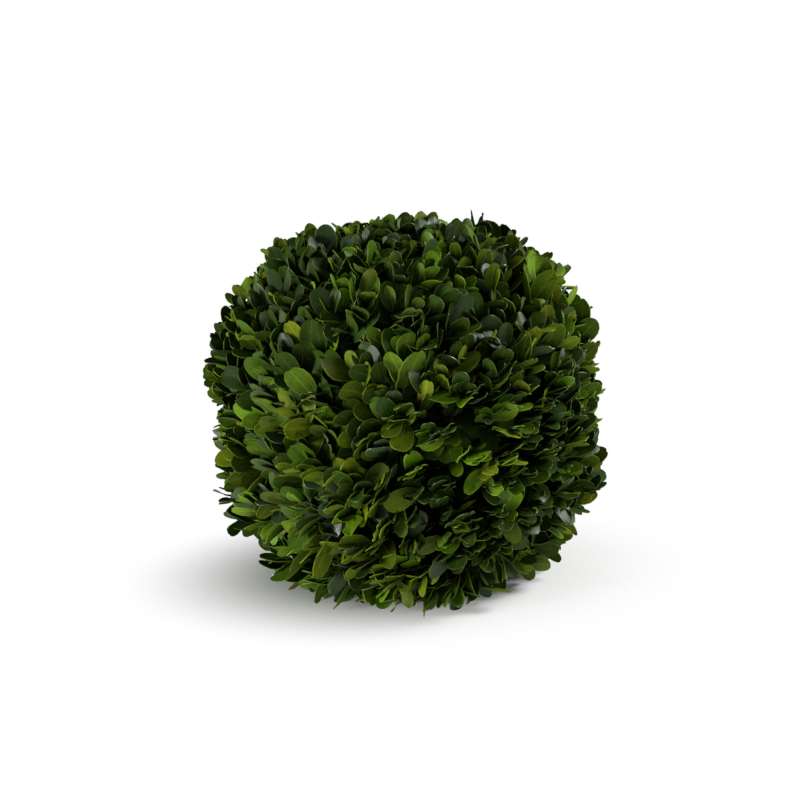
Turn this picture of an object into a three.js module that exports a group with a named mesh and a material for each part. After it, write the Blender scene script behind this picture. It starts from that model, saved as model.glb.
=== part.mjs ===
// A table-top ball of preserved box foliage, standing on its own flattened underside.
//
// A foam core sits in the middle. Bunches of box sprigs are bound on short stems, and the
// stems are stuck into the core all over, so that the leaves close into one rounded ball.
// Here each bunch of leaves is one closed, uneven solid over its own patch of the ball,
// each bundle of stems is one tapering rod, and the core is one more solid.
//
// Units are millimetres and +Z is up. The ball stands on the plane Z = 0.

import * as THREE from "three";

// ---- The ball ----

const HALF_WIDTH = 99; // middle to leaf tips, at the widest level
const DOME_HEIGHT = 88; // widest level to the crown
const BOWL_DEPTH = 107; // widest level to where the underside would close, if it weren't flat
const SEAT_DEPTH = 93.5; // widest level to the flat underside
const SQUARENESS = 2.5; // 2 is an ellipse, and more gives broader shoulders

// ---- Bunches of foliage, ring by ring from the crown down ----

const RINGS = [
  { name: "top", polar: 0, count: 1 },
  { name: "upper", polar: 40, count: 6 },
  { name: "middle", polar: 75, count: 8 },
  { name: "lower", polar: 110, count: 8 },
  { name: "skirt", polar: 146, count: 5 },
  { name: "foot", polar: 180, count: 1 },
];
const JITTER_DEGREES = 3.5; // how far a bunch strays from its even place in the ring
const BUNCH_ROOT_RADIUS = 72; // core's middle to the inner face of every bunch
const SEAM_GAP = 2.4; // open seam between two bunches, at their inner faces
const SEAM_DIP = 4.5; // how far the leaves fall back beside a seam
const SEAM_DIP_START = 0.55; // share of the way out to the seam where they begin to
const SEAM_WANDER = 0.05; // how far the seams wander, as a share of the radius
const SEAM_WANDER_RATE = 8.5; // radians of wander for each radius along the ball
const TUFT_HEIGHT = 1.5; // each of the waves that make the surface uneven
const TUFT_LENGTHS = [23, 31, 43]; // their wavelengths

// ---- Stems and core ----

const CORE_RADIUS = 56;
const STEMS_ROOT_RADIUS = 5.2; // a bundle of stems where it leaves the core
const STEMS_TIP_RADIUS = 3.6; // and where it enters its leaves
const CORE_CLEARANCE = 0.3; // core to stems
const LEAF_CLEARANCE = 1.0; // stems to the slightly hollow inner face of the leaves

// ---- Fineness of the solids ----

const SECTORS = 20; // directions round a bunch
const OUTER_STEPS = 4; // steps from a bunch's middle to its edge, on the leaf side
const INNER_STEPS = 2; // and on the core side
const STEM_SIDES = 8;
const CORE_SIDES = 18;
const CORE_BANDS = 10;
const SEAM_SEARCH_STEPS = 30;
const WIDEST_BUNCH = 0.9; // radians from a bunch's middle to the edge, at most

// ---- Finishes ----

const FOLIAGE_COLOURS = [0x2f4a16, 0x27400f, 0x3a5418, 0x23390f, 0x34501c];
const STEM_COLOUR = 0x5a5432;
const CORE_COLOUR = 0x1f2a16;

// A small repeatable random number maker, so that the ball is the same each time.
function makeRandom(seed) {
  let state = seed;
  return () => {
    state = (state + 0x6d2b79f5) | 0;
    let mixed = Math.imul(state ^ (state >>> 15), 1 | state);
    mixed = (mixed + Math.imul(mixed ^ (mixed >>> 7), 61 | mixed)) ^ mixed;
    return ((mixed ^ (mixed >>> 14)) >>> 0) / 4294967296;
  };
}

const random = makeRandom(41);
const wanderPhases = Array.from({ length: 6 }, () => 2 * Math.PI * random());
const tuftPhases = TUFT_LENGTHS.map(() => [0, 1, 2].map(() => 2 * Math.PI * random()));

// The direction at an angle down from the crown and an angle round the ball, in degrees.
function direction(polar, around) {
  const p = THREE.MathUtils.degToRad(polar);
  const a = THREE.MathUtils.degToRad(around);
  return new THREE.Vector3(Math.sin(p) * Math.cos(a), Math.sin(p) * Math.sin(a), Math.cos(p));
}

// Every bunch: its name, and the direction that it grows out in.
function placeBunches() {
  const bunches = [];
  RINGS.forEach((ring, level) => {
    const step = 360 / ring.count;
    for (let i = 0; i < ring.count; i += 1) {
      const alone = ring.count === 1;
      const stray = () => (alone ? 0 : JITTER_DEGREES * (2 * random() - 1));
      const polar = ring.polar + stray();
      const around = step * (i + 0.5 * (level % 2)) + 1.6 * stray();
      const name = alone ? ring.name : `${ring.name}_${i + 1}`;
      bunches.push({ name, axis: direction(polar, around) });
    }
  });
  return bunches;
}

// Distance from the ball's middle to its surface, before the leaves make it uneven.
function ballRadius(dir) {
  const flat = Math.hypot(dir.x, dir.y) / HALF_WIDTH;
  const upright = Math.abs(dir.z) / (dir.z > 0 ? DOME_HEIGHT : BOWL_DEPTH);
  return (flat ** SQUARENESS + upright ** SQUARENESS) ** (-1 / SQUARENESS);
}

// How far tufts of leaves stand above the even surface, or hollows lie below it.
function tufts(point) {
  let height = 0;
  TUFT_LENGTHS.forEach((length, i) => {
    const rate = (2 * Math.PI) / length;
    const [x, y, z] = tuftPhases[i];
    const wave = Math.sin(rate * point.x + x) * Math.sin(rate * point.y + y);
    height += TUFT_HEIGHT * (wave + Math.sin(rate * point.z + z) * Math.cos(rate * point.y + x));
  });
  return height;
}

// Distance from the middle to the leaf tips. share is 0 at a bunch's middle and 1 at its seam.
function tipRadius(dir, share) {
  const even = ballRadius(dir);
  const nearSeam = THREE.MathUtils.smoothstep(share, SEAM_DIP_START, 1);
  const uneven = even + tufts(dir.clone().multiplyScalar(even)) - SEAM_DIP * nearSeam;
  const seat = dir.z < 0 ? SEAT_DEPTH / -dir.z : Infinity;
  return Math.min(uneven, seat);
}

// Shifts a direction a little, in slow waves. Both bunches beside a seam use the same
// shift, so that they follow the same wandering line.
function wandered(dir) {
  const [a, b, c, d, e, f] = wanderPhases;
  const rate = SEAM_WANDER_RATE;
  return new THREE.Vector3(
    dir.x + SEAM_WANDER * (Math.sin(rate * dir.y + a) + Math.sin(rate * dir.z + b)),
    dir.y + SEAM_WANDER * (Math.sin(rate * dir.z + c) + Math.sin(rate * dir.x + d)),
    dir.z + SEAM_WANDER * (Math.sin(rate * dir.x + e) + Math.sin(rate * dir.y + f)),
  );
}

// True where a direction belongs to this bunch and lies clear of its seams.
function belongs(dir, bunch, bunches) {
  const shifted = wandered(dir);
  const own = shifted.angleTo(bunch.axis);
  const clear = SEAM_GAP / BUNCH_ROOT_RADIUS;
  return bunches.every((other) => other === bunch || shifted.angleTo(other.axis) > own + clear);
}

// A frame of two directions across an axis, to measure round it.
function across(axis) {
  const helper = Math.abs(axis.z) < 0.9 ? new THREE.Vector3(0, 0, 1) : new THREE.Vector3(1, 0, 0);
  const u = new THREE.Vector3().crossVectors(helper, axis).normalize();
  const v = new THREE.Vector3().crossVectors(axis, u);
  return { u, v };
}

// The direction that lies an angle away from an axis, towards one side of it.
function leanOut(axis, side, angle) {
  return axis.clone().multiplyScalar(Math.cos(angle)).addScaledVector(side, Math.sin(angle));
}

// The angle from a bunch's middle to its seam, on each side of it.
function seamAngles(bunch, bunches) {
  const { u, v } = across(bunch.axis);
  return Array.from({ length: SECTORS }, (_, sector) => {
    const turn = (2 * Math.PI * sector) / SECTORS;
    const side = u.clone().multiplyScalar(Math.cos(turn)).addScaledVector(v, Math.sin(turn));
    let inside = 0;
    let outside = WIDEST_BUNCH;
    for (let i = 0; i < SEAM_SEARCH_STEPS; i += 1) {
      const middle = (inside + outside) / 2;
      if (belongs(leanOut(bunch.axis, side, middle), bunch, bunches)) {
        inside = middle;
      } else {
        outside = middle;
      }
    }
    return { side, angle: inside };
  });
}

// One face of a bunch as points: its middle first, and then rings of points out to the seam.
function facePoints(bunch, seams, steps, radiusAt) {
  const points = [bunch.axis.clone().multiplyScalar(radiusAt(bunch.axis, 0))];
  for (let step = 1; step <= steps; step += 1) {
    const share = step / steps;
    seams.forEach(({ side, angle }) => {
      const dir = leanOut(bunch.axis, side, share * angle);
      points.push(dir.multiplyScalar(radiusAt(dir, share)));
    });
  }
  return points;
}

// Triangles over such points, from the point numbered first. They face out along the axis.
function faceTriangles(first, steps) {
  const triangles = [];
  const at = (step, sector) => first + 1 + (step - 1) * SECTORS + (sector % SECTORS);
  for (let sector = 0; sector < SECTORS; sector += 1) {
    triangles.push([first, at(1, sector), at(1, sector + 1)]);
    for (let step = 1; step < steps; step += 1) {
      triangles.push([at(step, sector), at(step + 1, sector), at(step + 1, sector + 1)]);
      triangles.push([at(step, sector), at(step + 1, sector + 1), at(step, sector + 1)]);
    }
  }
  return triangles;
}

// A bunch of leaves: an uneven outer face, a face towards the core, and walls along its seams.
function bunchGeometry(bunch, bunches) {
  const seams = seamAngles(bunch, bunches);
  const outer = facePoints(bunch, seams, OUTER_STEPS, tipRadius);
  const inner = facePoints(bunch, seams, INNER_STEPS, () => BUNCH_ROOT_RADIUS);
  const outerEdge = outer.length - SECTORS;
  const innerEdge = outer.length + inner.length - SECTORS;
  const triangles = faceTriangles(0, OUTER_STEPS);
  faceTriangles(outer.length, INNER_STEPS).forEach(([a, b, c]) => triangles.push([a, c, b]));
  for (let sector = 0; sector < SECTORS; sector += 1) {
    const next = (sector + 1) % SECTORS;
    triangles.push([outerEdge + sector, innerEdge + sector, innerEdge + next]);
    triangles.push([outerEdge + sector, innerEdge + next, outerEdge + next]);
  }
  const positions = [...outer, ...inner].flatMap((point) => point.toArray());
  const geometry = new THREE.BufferGeometry();
  geometry.setAttribute("position", new THREE.Float32BufferAttribute(positions, 3));
  geometry.setIndex(triangles.flat());
  return geometry;
}

function bunchMesh(bunch, number, bunches) {
  const colour = FOLIAGE_COLOURS[number % FOLIAGE_COLOURS.length];
  const material = new THREE.MeshStandardMaterial({ color: colour, roughness: 0.6, metalness: 0 });
  const mesh = new THREE.Mesh(bunchGeometry(bunch, bunches), material);
  mesh.name = `bunch_${bunch.name}`;
  return mesh;
}

// A bundle of stems: a rod that tapers from the core to the inner face of its bunch.
function stemsMesh(bunch) {
  const start = CORE_RADIUS + CORE_CLEARANCE;
  const end = BUNCH_ROOT_RADIUS - LEAF_CLEARANCE;
  const geometry = new THREE.CylinderGeometry(
    STEMS_TIP_RADIUS,
    STEMS_ROOT_RADIUS,
    end - start,
    STEM_SIDES,
  );
  const material = new THREE.MeshStandardMaterial({ color: STEM_COLOUR, roughness: 0.8, metalness: 0 });
  const mesh = new THREE.Mesh(geometry, material);
  mesh.name = `stems_${bunch.name}`;
  mesh.position.copy(bunch.axis).multiplyScalar((start + end) / 2);
  mesh.quaternion.setFromUnitVectors(new THREE.Vector3(0, 1, 0), bunch.axis);
  return mesh;
}

function coreMesh() {
  const geometry = new THREE.SphereGeometry(CORE_RADIUS, CORE_SIDES, CORE_BANDS);
  const material = new THREE.MeshStandardMaterial({ color: CORE_COLOUR, roughness: 0.95, metalness: 0 });
  const mesh = new THREE.Mesh(geometry, material);
  mesh.name = "foam_core";
  mesh.rotation.x = Math.PI / 2;
  return mesh;
}

const bunches = placeBunches();
const ball = new THREE.Group();
ball.add(coreMesh());
bunches.forEach((bunch, number) => {
  ball.add(bunchMesh(bunch, number, bunches));
  ball.add(stemsMesh(bunch));
});

// The middle of the outline stands over the origin, and the underside on the plane Z = 0.
ball.updateMatrixWorld(true);
const outline = new THREE.Box3().setFromObject(ball, true);
const middle = outline.getCenter(new THREE.Vector3());
ball.position.set(-middle.x, -middle.y, SEAT_DEPTH);

export default ball;
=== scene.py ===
# %% [markdown]
# # A ball of preserved box foliage
#
# The real thing is a table ornament. Sprigs of common box are cut, soaked in glycerine so
# that they stay supple and green, bound into small bunches and stuck all round a foam ball.
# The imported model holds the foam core, a bundle of stems for each bunch, and the closed
# outline of each bunch. Here every bunch grows its own twigs and leaves inside that outline.

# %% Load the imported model
import math

import bmesh
import bpy
import numpy as np
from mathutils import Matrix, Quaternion, Vector
from mathutils.bvhtree import BVHTree


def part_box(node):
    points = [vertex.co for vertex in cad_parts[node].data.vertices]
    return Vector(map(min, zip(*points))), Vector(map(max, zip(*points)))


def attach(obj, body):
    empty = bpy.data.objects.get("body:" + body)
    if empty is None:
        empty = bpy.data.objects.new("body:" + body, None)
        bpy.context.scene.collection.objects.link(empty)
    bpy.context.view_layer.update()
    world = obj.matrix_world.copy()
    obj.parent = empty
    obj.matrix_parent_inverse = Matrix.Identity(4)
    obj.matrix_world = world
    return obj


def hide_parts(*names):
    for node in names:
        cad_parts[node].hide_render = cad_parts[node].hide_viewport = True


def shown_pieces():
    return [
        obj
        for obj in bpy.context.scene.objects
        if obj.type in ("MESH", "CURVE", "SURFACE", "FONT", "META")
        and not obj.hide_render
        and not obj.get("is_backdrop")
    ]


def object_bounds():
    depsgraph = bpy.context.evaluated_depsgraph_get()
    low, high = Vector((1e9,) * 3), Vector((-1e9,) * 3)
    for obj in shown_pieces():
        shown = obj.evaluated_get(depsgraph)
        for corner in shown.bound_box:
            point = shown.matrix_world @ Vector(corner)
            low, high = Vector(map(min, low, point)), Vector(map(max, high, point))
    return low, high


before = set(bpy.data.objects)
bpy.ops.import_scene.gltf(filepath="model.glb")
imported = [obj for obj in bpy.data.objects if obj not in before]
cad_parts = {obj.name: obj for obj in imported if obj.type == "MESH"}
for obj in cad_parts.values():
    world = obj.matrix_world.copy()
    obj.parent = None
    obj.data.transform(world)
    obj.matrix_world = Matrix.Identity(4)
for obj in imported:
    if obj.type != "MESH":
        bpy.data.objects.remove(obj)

MM = 0.001
cad_box = [list(corner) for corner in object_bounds()]
bunch_names = sorted(name[len("bunch_"):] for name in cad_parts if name.startswith("bunch_"))
core_low, core_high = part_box("foam_core")
CENTRE = np.array((core_low + core_high) / 2)
CORE_RADIUS = (core_high.z - core_low.z) / 2
print(f"{len(bunch_names)} bunches round a core of {CORE_RADIUS / MM:.0f} mm")

# %% [markdown]
# ## Camera
#
# The ball is seen from a little above, through a longish lens, so that it keeps its true
# outline. A wider lens closer in would swell the middle and hide the flattened underside.

# %% Camera
LENS = 70
CAMERA_DISTANCE = 0.80
CAMERA_ELEVATION = math.radians(14)
CAMERA_ROLL = math.radians(-2)
AIM_SHIFT = Vector((-3.5 * MM, 0, -1.5 * MM))  # from the ball's middle to the point aimed at

camera = bpy.data.objects.new("camera", bpy.data.cameras.new("camera"))
bpy.context.scene.collection.objects.link(camera)
bpy.context.scene.camera = camera
camera.data.lens = LENS
camera_back = Vector((0, -math.cos(CAMERA_ELEVATION), math.sin(CAMERA_ELEVATION)))
camera.location = Vector(CENTRE) + AIM_SHIFT + camera_back * CAMERA_DISTANCE
camera.rotation_mode = "QUATERNION"
roll = Quaternion((0, 0, 1), CAMERA_ROLL)
camera.rotation_quaternion = (-camera_back).to_track_quat("-Z", "Y") @ roll
print(f"camera {CAMERA_DISTANCE} m away with a {LENS} mm lens")

# %% [markdown]
# ## Shader sums as Python expressions
#
# Leaf and bark finishes are sums of simple patterns. Wrapping a socket in a small class with
# operators lets a finish be written as one line of arithmetic, while Blender still gets its
# Math nodes. Every other node, of the materials and of the world, comes from one method.

# %% A socket that takes part in sums
class Value:
    """A socket that takes part in sums: each operator adds a Math node beside it."""

    def __init__(self, tree, output):
        self.tree = tree
        self.output = output

    def maths(self, operation, *values):
        return self.tree.node("ShaderNodeMath", {"operation": operation}, dict(enumerate(values)))

    def beside(self, name):
        """Another output of the same node."""
        return Value(self.tree, self.output.node.outputs[name])

    def __add__(self, other):
        return self.maths("ADD", self, other)

    def __sub__(self, other):
        return self.maths("SUBTRACT", self, other)

    def __rsub__(self, other):
        return self.maths("SUBTRACT", other, self)

    def __mul__(self, other):
        return self.maths("MULTIPLY", self, other)

    def __abs__(self):
        return self.maths("ABSOLUTE", self)

    def __mod__(self, other):
        return self.maths("FLOORED_MODULO", self, other)

    __radd__ = __add__
    __rmul__ = __mul__


print("sockets take +, -, *, % and abs()")


# %% One method for all other nodes
class NodeTree:
    """The nodes of a material or of the world."""

    def __init__(self, owner):
        owner.use_nodes = True
        self.nodes = owner.node_tree.nodes
        self.links = owner.node_tree.links

    def node(self, kind, settings, sockets, output=0):
        """Adds a node, sets its settings and then its sockets, and returns one output."""
        made = self.nodes.new(kind)
        for name, value in settings.items():
            setattr(made, name, value)
        for name, value in sockets.items():
            if isinstance(value, Value):
                self.links.new(value.output, made.inputs[name])
            else:
                made.inputs[name].default_value = value
        return Value(self, made.outputs[output])

    def step(self, value, low, high):
        """0 below low, 1 above high and a soft step between them."""
        limits = {"Value": value, "From Min": low, "From Max": high}
        return self.node("ShaderNodeMapRange", {"interpolation_type": "SMOOTHSTEP"}, limits)

    def blend(self, share, first, second):
        """One colour at share 0 and another at share 1."""
        settings = {"data_type": "RGBA"}
        return self.node("ShaderNodeMix", settings, {0: share, 6: first, 7: second}, output=2)


print("soft steps and blends are nodes of their own")


# %% Materials
class Finish(NodeTree):
    """A material: its Principled shader, and the nodes that feed it."""

    def __init__(self, name, **plain):
        self.material = bpy.data.materials.new(name)
        super().__init__(self.material)
        self.shader = self.nodes["Principled BSDF"]
        for socket, value in plain.items():
            self.shader.inputs[socket.replace("_", " ")].default_value = value

    def feed(self, socket, value):
        self.links.new(value.output, self.shader.inputs[socket])


print("a finish is one Principled shader and what feeds it")

# %% [markdown]
# ## Studio
#
# Dark foliage on white could be lit evenly from all round, but then it would look flat. Here
# most light comes from two square softboxes. A low one on the left front rakes over the leaves
# and gives them their shape, and a higher one on the right brightens the far shoulder. Next to
# no light comes from above, so that the gaps between the leaves go nearly black. The white
# below the horizon lights the underside, as a white table would. The camera sees pure white.

# %% Studio helpers
HORIZON_BLUR = 0.15  # the world's two strengths meet within this much of the horizon


def add_softbox(name, place, aim, size, power):
    """A square area light that faces a point."""
    light = bpy.data.lights.new(name, "AREA")
    light.shape = "SQUARE"
    light.size = size
    light.energy = power
    softbox = bpy.data.objects.new(name, light)
    bpy.context.scene.collection.objects.link(softbox)
    softbox.location = place
    softbox.rotation_euler = (Vector(aim) - Vector(place)).to_track_quat("-Z", "Y").to_euler()
    return softbox


def add_world(seen, above, below):
    """A white world: what the camera sees, and what lights the ball from above and below."""
    world = bpy.data.worlds.new("white_studio")
    bpy.context.scene.world = world
    sky = NodeTree(world)
    backdrop = sky.nodes["Background"]
    backdrop.inputs["Color"].default_value = (1, 1, 1, 1)
    backdrop.inputs["Strength"].default_value = seen
    place = sky.node("ShaderNodeTexCoord", {}, {}, output="Generated")
    height = sky.node("ShaderNodeSeparateXYZ", {}, {0: place}, output="Z")
    limits = {"From Min": -HORIZON_BLUR, "From Max": HORIZON_BLUR, "To Min": below, "To Max": above}
    strength = sky.node("ShaderNodeMapRange", {}, {"Value": height, **limits})
    glow = sky.node("ShaderNodeBackground", {}, {"Color": (1, 1, 1, 1), "Strength": strength})
    by_camera = sky.node("ShaderNodeLightPath", {}, {}, output="Is Camera Ray")
    sides = {0: by_camera, 1: glow, 2: Value(sky, backdrop.outputs[0])}
    both = sky.node("ShaderNodeMixShader", {}, sides)
    sky.links.new(both.output, sky.nodes["World Output"].inputs["Surface"])


add_softbox("key_softbox", (-1.35, -0.62, 0.12), CENTRE, 0.40, 22)
add_softbox("rim_softbox", (1.0, 0.12, 0.78), CENTRE, 0.5, 19)
add_world(seen=1.0, above=0.06, below=0.94)
bpy.context.scene.view_settings.view_transform = "Standard"
bpy.context.scene.view_settings.look = "None"
print("studio: two softboxes and a white world")

# %% [markdown]
# ## Floor
#
# The ball stands on white paper. A sheet that ran on to the horizon would show an edge against
# the white behind it. So the paper fades out a little way from the ball, less soon to the sides
# than to the front and back, and all that is left of it is the soft shadow at the foot.

# %% Floor
FLOOR_HALF = 0.4
FLOOR_SOLID = 0.034  # the floor fades out between these two radii, front to back
FLOOR_GONE = 0.112
FLOOR_SQUEEZE = 0.70  # and further out to the sides

corners = [(-1, -1), (1, -1), (1, 1), (-1, 1)]
floor_mesh = bpy.data.meshes.new("floor")
floor_mesh.from_pydata([(x * FLOOR_HALF, y * FLOOR_HALF, 0) for x, y in corners], [], [(0, 1, 2, 3)])
floor = bpy.data.objects.new("floor", floor_mesh)
bpy.context.scene.collection.objects.link(floor)
white = Finish("floor_white", Roughness=0.9, Specular_IOR_Level=0.1)
place = white.node("ShaderNodeTexCoord", {}, {}, output="Object")
oval = white.node("ShaderNodeVectorMath", {"operation": "MULTIPLY"}, {0: place, 1: (FLOOR_SQUEEZE, 1, 1)})
radius = white.node("ShaderNodeVectorMath", {"operation": "LENGTH"}, {0: oval}, output="Value")
paper = white.node("ShaderNodeTexNoise", {}, {"Vector": place, "Scale": 3.0})
white.feed("Base Color", white.blend(paper, (0.93, 0.93, 0.93, 1), (0.95, 0.95, 0.95, 1)))
white.feed("Alpha", 1 - white.step(radius, FLOOR_SOLID, FLOOR_GONE))
floor_mesh.materials.append(white.material)
floor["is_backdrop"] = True
print(f"the floor is gone {FLOOR_GONE / FLOOR_SQUEEZE / MM:.0f} mm out to the sides")

# %% [markdown]
# ## Leaf finishes
#
# A box leaf is dark and satin above, paler and matt below. Its midrib is a pale groove, its
# fine side veins run forward to the edge, and the edge itself is a thin yellowish line, made
# brighter by a painted highlight.
# The pattern is drawn in the leaf's own coordinates, across and along it, so that it sits
# right on every leaf. The green differs from sprig to sprig, so each green is a finish of
# its own that whole sprigs are given, and a second map gives each of these finishes its
# own tile, which lets the pattern be baked for other programs.

# %% Leaf greens
# Each green: its share of the sprigs, the upper side, the under side, and the roughness and
# the strength of the gloss of the upper side.
GREENS = {
    "mid_green": (0.32, (0.044, 0.092, 0.0034), (0.076, 0.135, 0.009), 0.46, 0.13),
    "deep_green": (0.26, (0.016, 0.040, 0.0024), (0.027, 0.054, 0.005), 0.42, 0.26),
    "olive": (0.16, (0.058, 0.088, 0.0024), (0.092, 0.128, 0.008), 0.50, 0.13),
    "fresh_green": (0.06, (0.090, 0.180, 0.0040), (0.135, 0.225, 0.012), 0.48, 0.13),
    "blue_grey": (0.05, (0.030, 0.058, 0.0180), (0.060, 0.098, 0.030), 0.34, 0.60),
    "yellow_olive": (0.07, (0.108, 0.150, 0.0030), (0.145, 0.185, 0.008), 0.52, 0.13),
    "moss_green": (0.08, (0.036, 0.066, 0.0050), (0.070, 0.106, 0.014), 0.50, 0.13),
}
print(f"{len(GREENS)} greens, whose shares add up to {sum(green[0] for green in GREENS.values()):.2f}")

# %% The pattern of a leaf
LEAF_MAP = "leaf_place"
BAKE_MAP = "OFBake"
VEIN_COUNT = 13  # along the leaf
VEIN_SLANT = 3.2
DARKEST, LIGHTEST = 0.42, 1.42  # the body's colour, from painted shade at the stalk and in the grain's hollows to the end
EDGE_TINT_AND_HIGHLIGHT = (0.046, 0.054, 0.006)  # what makes the edge a yellowish line, brightened as a painted highlight


def scaled(colour, by):
    return tuple(channel * by for channel in colour) + (1,)


def leaf_finish(name, colour, roughness, gloss, under):
    """One green for one side of a leaf, patterned in the leaf's own coordinates."""
    finish = Finish(name, Specular_IOR_Level=gloss)
    place = finish.node("ShaderNodeUVMap", {"uv_map": LEAF_MAP}, {})
    across = finish.node("ShaderNodeSeparateXYZ", {}, {"Vector": place})
    along = across.beside("Y")
    out = abs(across * 2 - 1)  # 0 on the midrib and 1 at the edge
    midrib = 1 - finish.step(out, 0.03, 0.13 if under else 0.10)
    edge = finish.step(out, 0.88, 0.99)
    stripe = abs((along * VEIN_COUNT - out * VEIN_SLANT) % 1 - 0.5) * 2
    veins = finish.step(stripe, 0.72, 1.0) * (1 - midrib) * (1 - edge)
    grain_sockets = {"Vector": place, "Scale": 8.0, "Detail": 6.0, "Roughness": 0.72}
    grain = finish.node("ShaderNodeTexNoise", {}, grain_sockets)
    # Painted shade: the body darkens towards the stalk, where neighbouring leaves overlap it, and in the
    # hollows of the grain.
    depth = finish.step(grain, 0.32, 0.70) * 0.45 + finish.step(along, 0.1, 0.85) * 0.55
    body = finish.blend(depth, scaled(colour, DARKEST), scaled(colour, LIGHTEST))
    veined = finish.blend(veins * (0.22 if under else 0.18), body, scaled(colour, 1.9))
    ribbed = finish.blend(midrib * (0.45 if under else 0.30), veined, scaled(colour, 2.3))
    # The edge: a pale yellowish line, partly its own colour and partly a painted highlight where light
    # catches it.
    pale = tuple(channel * 1.7 + extra for channel, extra in zip(colour, EDGE_TINT_AND_HIGHLIGHT))
    finish.feed("Base Color", finish.blend(edge * 0.8, ribbed, pale + (1,)))
    finish.feed("Roughness", grain * 0.22 + (roughness - 0.11))
    relief = grain * 0.35 + veins * (0.5 if under else -0.4) + midrib * (0.8 if under else -0.8)
    bump = finish.node("ShaderNodeBump", {}, {"Strength": 0.5, "Distance": 0.12 * MM, "Height": relief})
    finish.feed("Normal", bump)
    return finish.material


print(f"{VEIN_COUNT} veins on each side of the midrib")

# %% Leaf finishes
UNDER_ROUGHNESS = 0.66
UNDER_GLOSS = 0.07
TILE_COLUMNS = 4  # tiles of the baking map, one for each finish

leaf_finishes = []
for green, (_, upper, under, roughness, gloss) in GREENS.items():
    leaf_finishes.append(leaf_finish(f"{green}_upper", upper, roughness, gloss, under=False))
    leaf_finishes.append(leaf_finish(f"{green}_under", under, UNDER_ROUGHNESS, UNDER_GLOSS, under=True))
TILE_ROWS = math.ceil(len(leaf_finishes) / TILE_COLUMNS)
print(f"{len(leaf_finishes)} leaf finishes in {TILE_ROWS} rows of tiles")

# %% [markdown]
# ## Twig and foam finishes
#
# Young box twigs are greenish, older ones are grey-brown bark, and where they are cut the
# wood is pale. The foam is dark green and dull, so that it vanishes behind the leaves. The
# streaks are drawn in the twig's own coordinates, and here too each finish has its own tile.

# %% Twig finishes
TWIG_TILES = 3  # side by side in the baking map
OLD_BARK, YOUNG_BARK, CUT_WOOD = range(TWIG_TILES)
STREAKS = (4 * TWIG_TILES, 1.5, 1)  # how often the pattern repeats round and along a twig


def twig_finish(name, colour, roughness, relief):
    """Bark with fine streaks along the twig, in the twig's own coordinates."""
    finish = Finish(name)
    place = finish.node("ShaderNodeUVMap", {"uv_map": BAKE_MAP}, {})
    stretch = finish.node("ShaderNodeVectorMath", {"operation": "MULTIPLY"}, {0: place, 1: STREAKS})
    streaks = finish.node("ShaderNodeTexNoise", {}, {"Vector": stretch, "Scale": 2.5, "Detail": 1.5})
    tint = finish.blend(finish.step(streaks, 0.3, 0.7), scaled(colour, 0.65), scaled(colour, 1.35))
    finish.feed("Base Color", tint)
    finish.feed("Roughness", streaks * 0.2 + (roughness - 0.1))
    bump = finish.node("ShaderNodeBump", {}, {"Strength": relief, "Distance": 0.2 * MM, "Height": streaks})
    finish.feed("Normal", bump)
    return finish.material


TWIG_FINISHES = [
    twig_finish("old_bark", (0.045, 0.036, 0.020), 0.75, 0.7),
    twig_finish("young_bark", (0.040, 0.048, 0.010), 0.55, 0.4),
    twig_finish("cut_wood", (0.42, 0.36, 0.20), 0.70, 0.3),
]
print(f"{len(TWIG_FINISHES)} twig finishes")


# %% Foam finish
PORES = 650.0  # to a metre
DUST = 90.0


def foam_finish():
    """Dull green foam with open pores, painted darker inside as shade."""
    finish = Finish("foam_green")
    place = finish.node("ShaderNodeTexCoord", {}, {}, output="Object")
    pores = finish.node("ShaderNodeTexVoronoi", {}, {"Vector": place, "Scale": PORES})
    dust = finish.node("ShaderNodeTexNoise", {}, {"Vector": place, "Scale": DUST, "Detail": 3.0})
    open_cells = finish.step(pores, 0.15, 0.55)
    deep, dusty = (0.006, 0.010, 0.005, 1), (0.022, 0.036, 0.014, 1)
    # Painted shade: the pore centres are drawn near black, as shade in the open cells.
    finish.feed("Base Color", finish.blend(open_cells * dust, deep, dusty))
    finish.feed("Roughness", 1 - dust * 0.15)
    bump = finish.node("ShaderNodeBump", {}, {"Strength": 0.6, "Distance": 0.5 * MM, "Height": open_cells})
    finish.feed("Normal", bump)
    return finish.material


print(f"foam with {PORES / 1000:.2f} pores to a millimetre")

# %% [markdown]
# ## Meshes from arrays
#
# Thousands of leaves as separate objects would be slow and heavy. Their points are worked
# out as arrays instead, whole bunches at a time, and written into one mesh. All faces are
# quads, which keeps that writing to a few calls.

# %% Array helpers
TILE_MARGIN = 0.04  # keeps a finish from bleeding into the next tile


def unit(vectors):
    return vectors / np.linalg.norm(vectors, axis=-1, keepdims=True)


def smooth_step(value, low, high):
    share = np.clip((value - low) / (high - low), 0, 1)
    return share * share * (3 - 2 * share)


def tiled(places, finish, columns, rows):
    """Places on a face as places in the baking map, where each finish has its own tile."""
    tile = np.stack([finish % columns, finish // columns], -1)[:, None]
    return (tile + TILE_MARGIN + (1 - 2 * TILE_MARGIN) * places) / np.array([columns, rows])


print(f"half way up a soft step is {smooth_step(0.5, 0, 1):.1f}")


# %% Meshes and pieces
def fill(items, name, values, kind):
    """Writes one property of all the points, edges or faces of a mesh at once."""
    items.foreach_set(name, np.ascontiguousarray(values, kind).ravel())


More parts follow.
